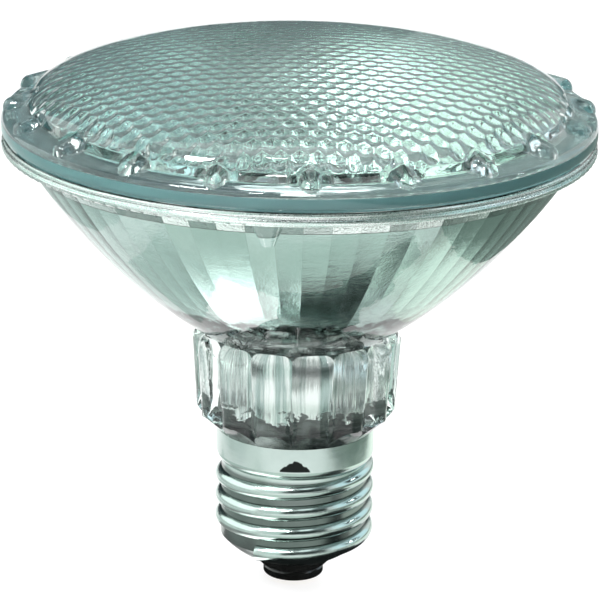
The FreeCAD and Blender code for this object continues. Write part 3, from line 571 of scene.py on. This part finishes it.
def facet_tree():
    """Repeats one column of the mirror evenly about the axis."""
    tree, start = new_grower(
        "Mirror facets", [("Columns", "Int"), ("Phase", "Float"), ("Finish", "Material")]
    )
    points = add_node(tree, "GeometryNodePoints", {"Count": start["Columns"]})
    number = add_node(tree, "GeometryNodeInputIndex").outputs[0]
    step = maths(tree, "DIVIDE", math.tau, start["Columns"])
    turn = maths(tree, "ADD", maths(tree, "MULTIPLY", number, step), start["Phase"])
    spin = add_node(tree, "ShaderNodeCombineXYZ", {"Z": turn})
    rotation = add_node(tree, "FunctionNodeEulerToRotation", {"Euler": spin.outputs[0]})
    copies = add_node(
        tree,
        "GeometryNodeInstanceOnPoints",
        {"Points": points.outputs[0], "Instance": start["Geometry"], "Rotation": rotation.outputs[0]},
    )
    real = add_node(tree, "GeometryNodeRealizeInstances", {"Geometry": copies.outputs[0]})
    joined = {"Geometry": real.outputs[0], "Distance": SAME_PLACE / 2}
    end_grower(tree, add_node(tree, "GeometryNodeMergeByDistance", joined), start)
    return tree


def facet_column(sizes, depth):
    """One flat-sided column of the mirror, from the floor's edge to the rim, a little way into the glass."""
    form = bmesh.new()
    width = math.tau / sizes.facet_count
    previous = None
    for row in range(FACET_ROWS + 1):
        height = sizes.mirror_foot + (sizes.mirror_top - sizes.mirror_foot) * row / FACET_ROWS
        radius = bowl_radius(height, sizes.bowl_wall) + depth
        pair = [
            form.verts.new((radius * math.cos(side), radius * math.sin(side), height))
            for side in (0.0, width)
        ]
        if previous:
            form.faces.new((previous[1], previous[0], pair[0], pair[1]))
        else:
            middle = form.verts.new((0, 0, height))
            form.faces.new((middle, pair[0], pair[1]))
        previous = pair
    mesh = bpy.data.meshes.new("facet_column")
    form.to_mesh(mesh)
    form.free()
    return mesh


def make_adhesive(sizes, material):
    """The adhesive ring, wetting the glass above and below it."""
    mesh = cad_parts["seal_ring"].data.copy()
    low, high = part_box("seal_ring")
    middle = (low.z + high.z) / 2
    for vert in mesh.vertices:
        vert.co.z += math.copysign(sizes.adhesive_wetting, vert.co.z - middle)
    mesh.materials.clear()
    mesh.materials.append(material)
    return mesh


def make_neck_film(sizes, material):
    """The film on the neck's bore, a hair inside the glass."""
    line = (
        (sizes.bore_radius, sizes.film_foot),
        (sizes.bore_radius, sizes.bore_flare),
        (sizes.hollow_bore, sizes.bore_flare + sizes.hollow_bore - sizes.bore_radius),
        (sizes.hollow_bore, sizes.bore_top - BORE_ROUND),
        (sizes.hollow_bore - BORE_ROUND_CUT, sizes.bore_top - BORE_ROUND_CUT),
        (sizes.hollow_bore - BORE_ROUND, sizes.bore_top),
        (0.0001, sizes.bore_top),
    )
    return ring_film("neck_coating", line, material)


def ring_film(name, line, material):
    """A film turned about the lamp's axis from a line of (radius, height)."""
    form = bmesh.new()
    rings = []
    for radius, height in line:
        ring = []
        for side in range(FILM_SIDES):
            turn = math.tau * side / FILM_SIDES
            ring.append(form.verts.new((radius * math.cos(turn), radius * math.sin(turn), height)))
        rings.append(ring)
    for low, high in zip(rings, rings[1:]):
        for side in range(FILM_SIDES):
            form.faces.new((low[side - 1], low[side], high[side], high[side - 1]))
    mesh = bpy.data.meshes.new(name)
    form.to_mesh(mesh)
    form.free()
    mesh.materials.append(material)
    mesh.shade_smooth()
    return mesh


# Sizes and colours that a user may change

def length(name, description, default):
    """A length in metres."""
    return FloatProperty(name=name, description=description, default=default, unit="LENGTH", precision=5)


def tint(name, description, default):
    """A colour."""
    return FloatVectorProperty(name=name, description=description, default=default, subtype="COLOR")


class BulbSizes(bpy.types.PropertyGroup):
    """Sizes of the fine detail."""

    lenslet_pitch: length("Lenslet pitch", "Distance between two lenslets in a row", 0.00275)
    lenslet_depth: length("Lenslet depth", "How far a lenslet stands out of the lens's ceiling", 0.00062)
    lenslet_fade: length("Lenslet fade", "Width of the ring in which the lenslets flatten out", 0.0006)
    lenslet_steps: IntProperty(
        name="Lenslet steps", description="Edges along one side of a lenslet's border", default=5, min=1
    )
    hollow_radius: length("Hollow radius", "Radius of the lens's ceiling", 0.04005)
    ceiling_radius: length("Ceiling curve", "Half width of the ellipse that the ceiling follows", 0.04027)
    ceiling_base: length("Ceiling base", "Height of that ellipse's centre", 0.07948)
    ceiling_rise: length("Ceiling rise", "Half height of that ellipse", 0.00839)
    facet_count: IntProperty(
        name="Facets", description="Columns of facets round the mirror", default=60, min=3
    )
    facet_phase: FloatProperty(
        name="Facet phase", description="Angle of the first border between facets",
        default=math.radians(1.1), subtype="ANGLE",
    )
    facet_lean: FloatProperty(
        name="Facet lean", description="How far a facet may lean to either side, as a slope", default=0.06
    )
    block_foot: length("Block foot", "Height above which each facet ends in a block", 0.0733)
    bowl_wall: length("Bowl wall", "Thickness of the bowl's glass", 0.0025)
    mirror_foot: length("Mirror foot", "Height of the mirror's floor", 0.04922)
    mirror_top: length("Mirror top", "Height of the mirror's upper edge", 0.0775)
    bore_radius: length("Coated bore radius", "Radius of the coating on the neck's bore", 0.01026)
    hollow_bore: length("Coated hollow radius", "Radius of the coating in the neck's wider hollow", 0.01226)
    bore_flare: length("Bore flare", "Height at which the bore starts to widen", 0.02896)
    bore_top: length("Coated bore top", "Height of the coating on the bore's ceiling", 0.04326)
    film_foot: length("Film foot", "Height of the lower edge of the bore's coating", 0.0245)
    adhesive_wetting: length("Adhesive wetting", "How far the adhesive reaches into what it joins", 0.00003)


class BulbColours(bpy.types.PropertyGroup):
    """Colours of the glass, the coating, the cap and the adhesive."""

    glass_tint: tint("Glass tint", "Colour of the clear glass", (0.93, 0.985, 0.965))
    glass_deeper: tint("Glass depth tint", "Colour of the glass where it runs deeper", (0.88, 0.96, 0.935))
    # Painted shade: the mirror's back is its face's coating in darker tones
    back_shaded_dim: tint("Mirror back, dim", "Dimmest facets, through the bowl's glass", (0.42, 0.54, 0.51))
    back_shaded_bright: tint("Mirror back, bright", "Brightest facets, through the bowl's glass", (0.54, 0.66, 0.63))
    face_dim: tint("Mirror face, dim", "Dimmest facets, through the lens", (0.80, 0.90, 0.86))
    face_bright: tint("Mirror face, bright", "Brightest facets, through the lens", (0.92, 0.98, 0.96))
    nickel_dim: tint("Nickel, dim", "Colour of the cap's sheet where it is stained", (0.38, 0.47, 0.44))
    nickel_bright: tint("Nickel, bright", "Colour of the cap's sheet where it is clean", (0.62, 0.73, 0.69))
    adhesive_dim: tint("Adhesive, dim", "Darker tone of the adhesive", (0.19, 0.38, 0.39))
    adhesive_bright: tint("Adhesive, bright", "Paler tone of the adhesive", (0.26, 0.48, 0.49))


# Operators

class BULB_OT_lens(bpy.types.Operator):
    """Presses the lenslets into the lens and gives it its glass."""

    bl_idname = "bulb.lens"
    bl_label = "Stippled lens"

    def execute(self, context):
        sizes, colours = context.scene.bulb_sizes, context.scene.bulb_colours
        glass = pressed_glass("lens_glass", colours.glass_tint, colours.glass_deeper, 0.000008)
        new_piece("stippled_lens", make_lens_mesh(sizes, glass), ["lens"])
        return {"FINISHED"}


class BULB_OT_reflector(bpy.types.Operator):
    """Gives the reflector its glass and its mirror coating."""

    bl_idname = "bulb.reflector"
    bl_label = "Reflector"

    def execute(self, context):
        sizes, colours = context.scene.bulb_sizes, context.scene.bulb_colours
        dress("reflector", pressed_glass("reflector_glass", colours.glass_tint, colours.glass_deeper))
        # the back is the same coating as the face in darker tones: painted shade where the mirror is seen
        # through the bowl's glass
        faces = {
            "mirror_back_shaded": (BACK_DEPTH, colours.back_shaded_dim, colours.back_shaded_bright, 1.0),
            "mirror_face": (FACE_DEPTH, colours.face_dim, colours.face_bright, 0.1),
        }
        for name, (depth, dim, bright, matt) in faces.items():
            values = {
                "Columns": sizes.facet_count,
                "Phase": sizes.facet_phase,
                "Finish": mirror_metal(name, sizes, dim, bright, matt),
            }
            mesh = grown(facet_column(sizes, depth), facet_tree(), values)
            mesh.shade_smooth()
            mesh.set_sharp_from_angle(angle=SHARP_MIRROR)
            new_piece(name, mesh)
        new_piece("neck_coating", make_neck_film(sizes, neck_coat("neck_coating")))
        adhesive = grey_adhesive("seal_adhesive", colours.adhesive_dim, colours.adhesive_bright)
        new_piece("adhesive_ring", make_adhesive(sizes, adhesive), ["seal_ring"])
        new_piece("adhesive_edge", ring_film("adhesive_edge", ADHESIVE_LINE, adhesive))
        land_metal = lined_metal("land_metal", (0.7, 0.82, 0.84), (0.95, 1.0, 1.0), 0.16)
        new_piece("land_film", ring_film("land_film", LAND_LINE, land_metal))
        rim_metal = lined_metal("rim_metal", (0.6, 0.73, 0.69), (1.0, 1.0, 1.0), 0.25)
        new_piece("rim_film", ring_film("rim_film", RIM_LINE, rim_metal))
        return {"FINISHED"}


class BULB_OT_cap(bpy.types.Operator):
    """Finishes the screw cap, its insulator and its contact."""

    bl_idname = "bulb.cap"
    bl_label = "Screw cap"

    def execute(self, context):
        colours = context.scene.bulb_colours
        dress("screw_shell", nickel_sheet("cap_metal", colours.nickel_dim, colours.nickel_bright))
        dress("insulator", black_glass("insulator_glass"))
        dress("centre_contact", drawn_metal("contact_brass", (0.50, 0.40, 0.22), (0.70, 0.58, 0.36), 0.25))
        dress("contact_solder", drawn_metal("solder", (0.52, 0.53, 0.54), (0.75, 0.76, 0.77), 0.3))
        dress("neck_cement", drawn_metal("cement", (0.50, 0.48, 0.44), (0.68, 0.66, 0.61), 0.8, 0.0))
        return {"FINISHED"}


class BULB_OT_capsule(bpy.types.Operator):
    """Finishes the lamp capsule, its carrier and the wires in the neck."""

    bl_idname = "bulb.capsule"
    bl_label = "Lamp capsule"

    def execute(self, context):
        colours = context.scene.bulb_colours
        dress("capsule_envelope", pressed_glass("quartz", (0.98, 0.99, 0.99), (0.95, 0.97, 0.97), 0.00001))
        dress("fuse_sleeve", pressed_glass("fuse_glass", colours.glass_tint, colours.glass_deeper, 0.00001))
        tungsten = drawn_metal("tungsten", (0.22, 0.22, 0.23), (0.36, 0.36, 0.37), 0.4)
        lead = drawn_metal("lead_metal", (0.40, 0.40, 0.41), (0.58, 0.58, 0.58), 0.3)
        foil = drawn_metal("foil_metal", (0.46, 0.46, 0.48), (0.62, 0.62, 0.63), 0.35)
        post = drawn_metal("post_metal", (0.52, 0.52, 0.50), (0.72, 0.72, 0.69), 0.25)
        shield = drawn_metal("shield_metal", (0.66, 0.67, 0.68), (0.82, 0.83, 0.84), 0.2)
        wire = drawn_metal("wire_metal", (0.46, 0.44, 0.40), (0.66, 0.63, 0.58), 0.3)
        dress("filament", tungsten)
        dress("heat_shield", shield)
        for side in ("left", "right"):
            dress(f"foil_{side}", foil)
            dress(f"filament_lead_{side}", lead)
            dress(f"capsule_pin_{side}", lead)
            dress(f"support_post_{side}", post)
            dress(f"ferrule_{side}", post)
        dress("shell_lead", wire)
        dress("contact_lead", wire)
        return {"FINISHED"}


def seen_directly(tree):
    """1 for rays that come straight from the camera, a mirror or glass."""
    path = add_node(tree, "ShaderNodeLightPath").outputs
    either = maths(tree, "MAXIMUM", path["Is Camera Ray"], path["Is Glossy Ray"])
    return maths(tree, "MAXIMUM", either, path["Is Transmission Ray"])


def make_camera():
    """A long lens at the photograph's angle: 17.8 degrees above level, turned by under a degree."""
    elevation, roll = math.radians(CAMERA_ELEVATION), math.radians(CAMERA_ROLL)
    forward = Vector((0, math.cos(elevation), -math.sin(elevation)))
    level = Vector((1, 0, 0))
    upward = level.cross(forward)
    right = level * math.cos(roll) + upward * math.sin(roll)
    top = upward * math.cos(roll) - level * math.sin(roll)
    data = bpy.data.cameras.new("camera")
    data.sensor_width = 36
    data.lens = CAMERA_LENS
    data.clip_start, data.clip_end = 0.05, 20
    camera = bpy.data.objects.new("camera", data)
    bpy.context.scene.collection.objects.link(camera)
    turn = Matrix((right, top, -forward)).transposed().to_4x4()
    camera.matrix_world = Matrix.Translation(Vector(CAMERA_TARGET) - forward * CAMERA_DISTANCE) @ turn
    bpy.context.scene.camera = camera


def add_panel(name, places, material):
    """One four-cornered panel of the stage."""
    mesh = bpy.data.meshes.new(name)
    mesh.from_pydata(places, [], [(0, 1, 2, 3)])
    mesh.materials.append(material)
    panel = bpy.data.objects.new(name, mesh)
    bpy.context.scene.collection.objects.link(panel)
    return panel


def add_card(name, middle, across, upward, colour, aslant=1.0):
    """A card that only metal and glass see: its middle, two half sides and what is left of it aslant."""
    middle, across, upward = Vector(middle), Vector(across), Vector(upward)
    sides = ((-1, -1), (1, -1), (1, 1), (-1, 1))
    corners = [middle + across * one + upward * other for one, other in sides]
    material, tree = new_material(name)
    glow = add_node(tree, "ShaderNodeEmission", {"Color": (*colour, 1), "Strength": 1.0})
    if aslant < 1.0:
        turned = add_node(tree, "ShaderNodeLayerWeight", {"Blend": 0.5}).outputs["Facing"]
        tree.links.new(between(tree, turned, 0.12, 0.3, 1.0, aslant), glow.inputs["Strength"])
    end_with(tree, glow.outputs[0])
    card = add_panel(name, corners, material)
    card.visible_camera = False
    card.visible_diffuse = False
    card.visible_shadow = False


def add_lamp(name, place, aim, width, height, power):
    """A soft lamp that metal and glass don't reflect; they reflect the cards."""
    data = bpy.data.lights.new(name, "AREA")
    data.shape = "RECTANGLE"
    data.size, data.size_y = width, height
    data.energy = power
    lamp = bpy.data.objects.new(name, data)
    bpy.context.scene.collection.objects.link(lamp)
    lamp.location = place
    lamp.rotation_euler = (Vector(aim) - Vector(place)).to_track_quat("-Z", "Y").to_euler()
    lamp.visible_glossy = False
    lamp.visible_transmission = False


# Cards of the studio: middle, half side across, half side up (metres) and brightness
CARDS = {
    "ceiling_over": ((-0.05, 0.26, 1.299), (0.6, 0, 0), (0, 0.24, 0), (1.9, 2.0, 1.98)),
    "ceiling_left": ((-0.75, 0.55, 1.3), (0.75, 0, 0), (0, 1.0, 0), (0.12, 0.16, 0.17)),
    "ceiling_right": ((0.75, 0.55, 1.3), (0.75, 0, 0), (0, 1.0, 0), (0.2, 0.26, 0.26)),
    "front_top_left": ((-0.92, -0.85, 1.31), (0.58, 0, 0), (0, 0.42, 0), (1.9, 2.04, 2.1)),
    "front_top_middle": ((0.3, -0.85, 1.31), (0.2, 0, 0), (0, 0.42, 0), (1.9, 2.04, 2.1)),
    "front_top_gap": ((-0.12, -0.85, 1.31), (0.22, 0, 0), (0, 0.42, 0), (0.004, 0.006, 0.007)),
    "front_top_right": ((1.0, -0.85, 1.31), (0.5, 0, 0), (0, 0.42, 0), (0.2, 0.25, 0.26)),
    "left_wall": ((-1.4, 0.3, 0.70), (0, 1.1, 0), (0, 0, 0.58), (1.7, 1.85, 1.78)),
    "right_wall": ((1.4, 0.3, 0.70), (0, 1.1, 0), (0, 0, 0.58), (1.05, 1.3, 1.42)),
    "front_left_wall": ((-0.95, -1.3, 0.7), (0.5, 0, 0), (0, 0, 0.6), (0.9, 1.02, 0.98)),
    "front_wall": ((0.5, -1.3, 0.7), (0.95, 0, 0), (0, 0, 0.6), (0.03, 0.04, 0.04)),
    "back_left": ((-0.85, 1.5, 0.66), (0.95, 0, 0), (0, 0, 0.64), (0.04, 0.06, 0.065)),
    "back_right": ((0.45, 1.5, 0.66), (0.35, 0, 0), (0, 0, 0.64), (0.16, 0.2, 0.2)),
    "softbox": ((-0.55, -0.45, 0.85), (0.085, -0.064, 0.026), (0.045, 0.085, 0.075), (52, 52, 52.5)),
    "dot_lamp": ((-0.24, -0.66, 0.84), (0.04, -0.015, 0), (0.011, 0.03, 0.027), (110, 110, 110)),
    "top_lamp": ((-0.1, -0.1, 1.2), (0.05, 0, 0), (0, 0.05, 0), (30, 30, 30)),
    "right_dark": ((1.3, 0.1, 0.6), (0, 0.34, 0), (0, 0, 0.33), (0.01, 0.016, 0.018)),
    "right_lamp": ((1.25, 0.1, 0.6), (0, 0.035, 0), (0, 0, 0.035), (60, 60, 60)),
}

# Sheets of card on the floor: left, right, front and back edge (mm), brightness, and what is left aslant.
# They are painted light and shade on the floor round the lamp, seen only by metal and glass: floor_dark,
# floor_dark_next and floor_dark_end are a painted shadow of the lamp, floor_left a painted pool of light, and
# the rest painted lighter and darker floor round them
FLOOR_CARDS = {
    "floor_front_right": (60, 600, -700, -70, (0.22, 0.26, 0.24), 1.0),
    "floor_far_left": (-600, -75, -150, 400, (0.72, 0.8, 0.78), 1.0),
    "floor_right": (62, 400, -70, 300, (0.24, 0.30, 0.27), 1.0),
    "floor_pale_right": (34, 62, -18, 80, (1.3, 1.4, 1.3), 1.0),
    "floor_near": (-60, 50, -50, -20, (0.84, 0.93, 0.88), 1.0),
    "floor_side_left": (-60, -31, -20, 40, (0.72, 0.81, 0.78), 1.0),
    "floor_left": (-31, -7, -20, 14, (3.2, 3.2, 3.2), 0.12),
    "floor_dark_end": (30, 50, -31, -14, (0.12, 0.14, 0.135), 1.0),
    "floor_dark_next": (18, 36, -27, -4, (0.05, 0.06, 0.06), 1.0),
    "floor_dark": (-7, 22, -23, 6, (0.012, 0.014, 0.014), 1.0),
}

# Lamps: place, aim, width and height (metres) and power (watts)
LAMPS = {
    "key_light": ((-0.55, -0.45, 0.85), (0, 0, 0.05), 0.4, 0.4, 8),
    "fill_light": ((0.7, -0.1, 0.55), (0, 0, 0.05), 0.5, 0.5, 5),
    "back_light": ((0.25, 0.9, 0.6), (0, 0, 0.08), 0.6, 0.4, 5),
}


class BULB_OT_stage(bpy.types.Operator):
    """Sets the pale floor, the soft studio light, the cards that metal and glass reflect, and the camera."""

    bl_idname = "bulb.stage"
    bl_label = "Studio"

    def execute(self, context):
        context.scene.view_settings.view_transform = "Standard"
        for name, count in BOUNCES.items():
            setattr(context.scene.cycles, name, count)
        make_camera()
        world = bpy.data.worlds.new("studio")
        context.scene.world = world
        world.use_nodes = True
        tree = world.node_tree
        tree.nodes.clear()
        level = between(tree, seen_directly(tree), 0.0, 1.0, SKY_LEVEL, 1.0, "LINEAR")
        sky = add_node(tree, "ShaderNodeBackground", {"Color": (1, 1, 1, 1), "Strength": level})
        add_node(tree, "ShaderNodeOutputWorld", {"Surface": sky.outputs[0]})

        white, tree = new_material("floor_white")
        paper = add_node(tree, "ShaderNodeBsdfDiffuse", {"Color": (0.8, 0.8, 0.8, 1)})
        faint = add_node(tree, "ShaderNodeBsdfDiffuse", {"Color": (0.3, 0.3, 0.3, 1)})
        glow = add_node(tree, "ShaderNodeEmission", {"Color": (1, 1, 1, 1), "Strength": 0.8})
        seen = add_node(tree, "ShaderNodeAddShader", {0: faint.outputs[0], 1: glow.outputs[0]})
        sorts = {0: seen_directly(tree), 1: paper.outputs[0], 2: seen.outputs[0]}
        end_with(tree, add_node(tree, "ShaderNodeMixShader", sorts).outputs[0])
        side, front, back = FLOOR
        add_panel("floor", [(-side, front, 0), (side, front, 0), (side, back, 0), (-side, back, 0)], white)
        for name, card in CARDS.items():
            add_card(name, *card)
        for number, (name, (left, right, front, back, *light)) in enumerate(FLOOR_CARDS.items(), start=1):
            middle = ((left + right) / 2 * MM, (front + back) / 2 * MM, number * CARD_GAP)
            add_card(name, middle, ((right - left) / 2 * MM, 0, 0), (0, (back - front) / 2 * MM, 0), *light)

        for name, lamp in LAMPS.items():
            add_lamp(name, *lamp)
        return {"FINISHED"}


class BULB_PT_sidebar(bpy.types.Panel):
    """Lists the steps that dress the bulb."""

    bl_label = "Spotlight bulb"
    bl_idname = "BULB_PT_sidebar"
    bl_space_type = "VIEW_3D"
    bl_region_type = "UI"
    bl_category = "Spotlight Bulb"

    def draw(self, context):
        for step in STEPS:
            self.layout.operator(step.bl_idname)
        for group in (context.scene.bulb_sizes, context.scene.bulb_colours):
            for name in group.__annotations__:
                self.layout.prop(group, name)


STEPS = (BULB_OT_lens, BULB_OT_reflector, BULB_OT_cap, BULB_OT_capsule, BULB_OT_stage)
CLASSES = (BulbSizes, BulbColours, *STEPS, BULB_PT_sidebar)


def register():
    """Makes the sizes, the colours, the steps and the panel known."""
    for item in CLASSES:
        bpy.utils.register_class(item)
    bpy.types.Scene.bulb_sizes = PointerProperty(type=BulbSizes)
    bpy.types.Scene.bulb_colours = PointerProperty(type=BulbColours)


def unregister():
    """Takes them away again."""
    del bpy.types.Scene.bulb_colours
    del bpy.types.Scene.bulb_sizes
    for item in reversed(CLASSES):
        bpy.utils.unregister_class(item)


def main():
    """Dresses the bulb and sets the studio."""
    register()
    bpy.ops.bulb.lens()
    bpy.ops.bulb.reflector()
    bpy.ops.bulb.cap()
    bpy.ops.bulb.capsule()
    bpy.ops.bulb.stage()


if __name__ == "__main__":
    main()
